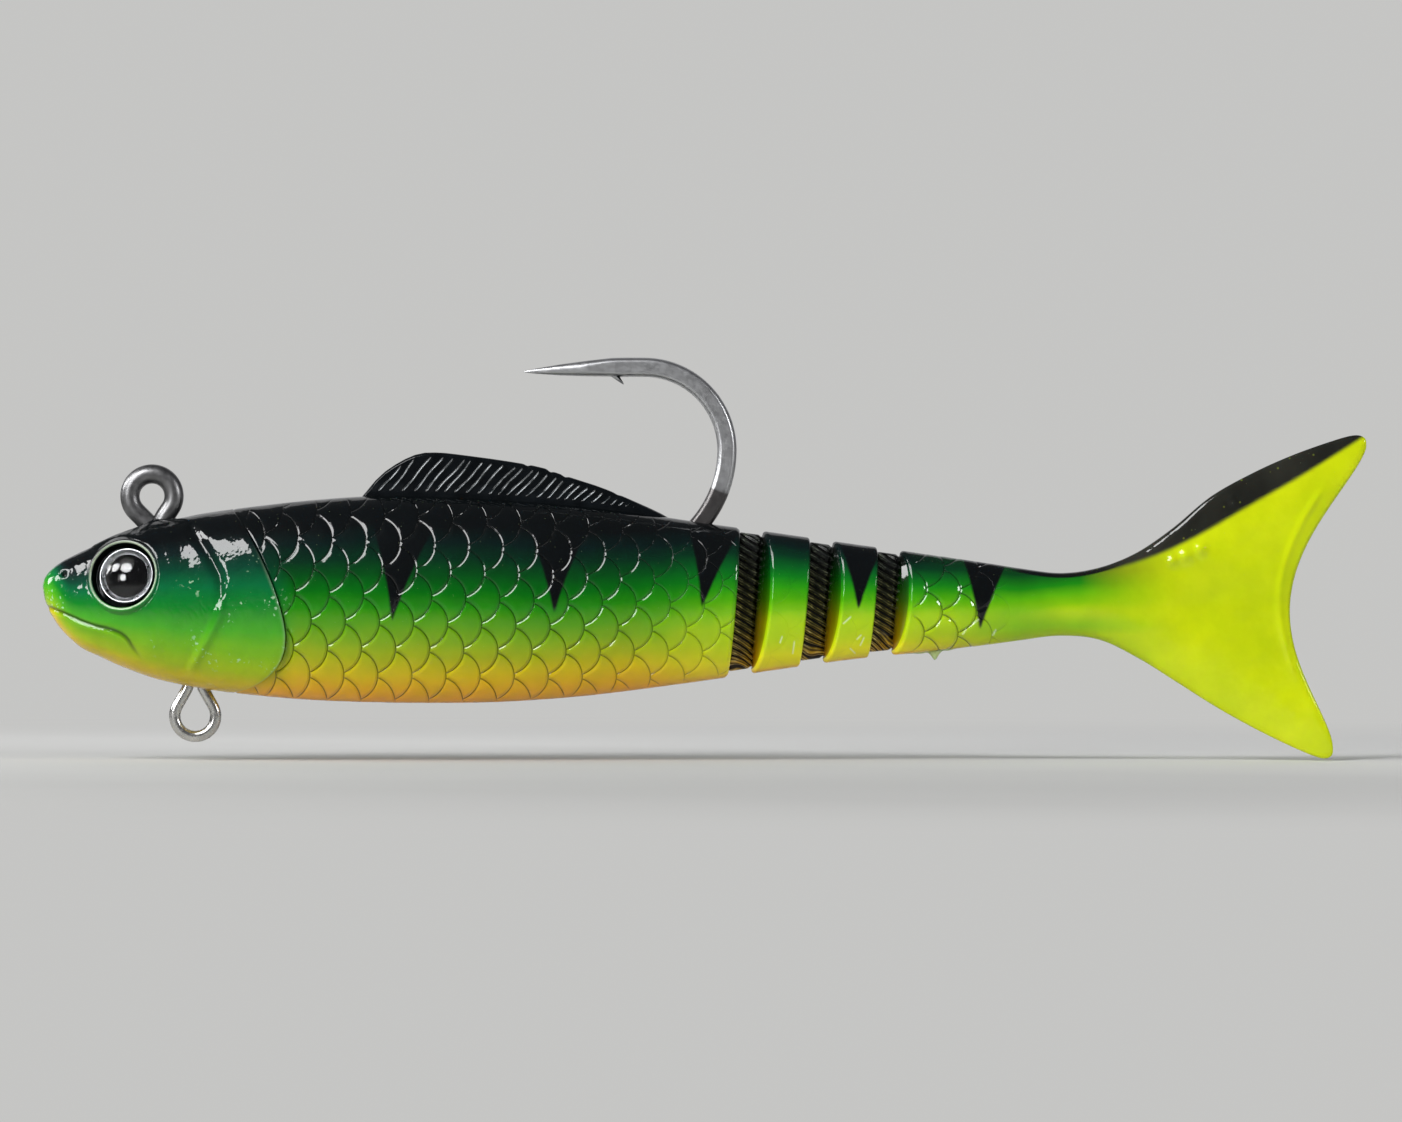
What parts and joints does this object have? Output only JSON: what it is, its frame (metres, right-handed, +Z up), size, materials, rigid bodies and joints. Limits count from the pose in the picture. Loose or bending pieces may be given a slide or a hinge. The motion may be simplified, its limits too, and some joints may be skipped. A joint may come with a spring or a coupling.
{
  "type": "swimbait",
  "caption": "Fish-shaped soft swimbait in four mouldings joined by mesh sleeves, with a top jig hook, line tie ring, belly loop and forked tail.",
  "frame": {"origin": "centre of the line tie ring on top of the head", "axes": "+X from the head to the tail, +Y to the fish's right side, +Z up through the back"},
  "size_m": [0.1438, 0.0146, 0.0436],
  "materials": {
    "body_soft_plastic": "glossy clear-coated soft PVC, black back over green to yellow belly with dark bars",
    "tail_soft_plastic": "translucent chartreuse soft PVC with a dark upper edge",
    "fin_soft_plastic": "glossy black soft PVC with moulded rays",
    "sleeve_mesh": "black woven nylon mesh, soaked in clear plastisol",
    "cast_lead": "dull cast lead",
    "hook_steel": "forged hook steel, smoky nickel finish",
    "loop_steel": "bright stainless wire",
    "eye_foil": "silver foil",
    "eye_pupil": "black gloss",
    "eye_lens": "clear domed resin"
  },
  "bodies": {
    "front": {"trunk": "body_soft_plastic", "dorsal_fin": "fin_soft_plastic", "head_weight": "cast_lead", "jig_hook": "hook_steel", "belly_loop": "loop_steel", "mesh_sleeve_1": "sleeve_mesh", "eye_foil_left": "eye_foil", "eye_foil_right": "eye_foil", "eye_pupil_left": "eye_pupil", "eye_pupil_right": "eye_pupil", "eye_lens_left": "eye_lens", "eye_lens_right": "eye_lens"},
    "middle_1": {"segment_1": "body_soft_plastic", "mesh_sleeve_2": "sleeve_mesh"},
    "middle_2": {"segment_2": "body_soft_plastic", "mesh_sleeve_3": "sleeve_mesh"},
    "rear": {"tail": "tail_soft_plastic"}
  },
  "joints": [
    {"name": "bend_1", "type": "hinge", "parent": "front", "child": "middle_1", "pos_m": [0.06445, 0, -0.0116], "axis": [0, 0, 1], "range_deg": [-25, 25], "stiffness_Nm_per_rad": 0.006, "deforming": ["mesh_sleeve_1"]},
    {"name": "bend_2", "type": "hinge", "parent": "middle_1", "child": "middle_2", "pos_m": [0.07215, 0, -0.0116], "axis": [0, 0, 1], "range_deg": [-25, 25], "stiffness_Nm_per_rad": 0.006, "deforming": ["mesh_sleeve_2"]},
    {"name": "bend_3", "type": "hinge", "parent": "middle_2", "child": "rear", "pos_m": [0.07955, 0, -0.0116], "axis": [0, 0, 1], "range_deg": [-25, 25], "stiffness_Nm_per_rad": 0.006, "deforming": ["mesh_sleeve_3"]}
  ]
}
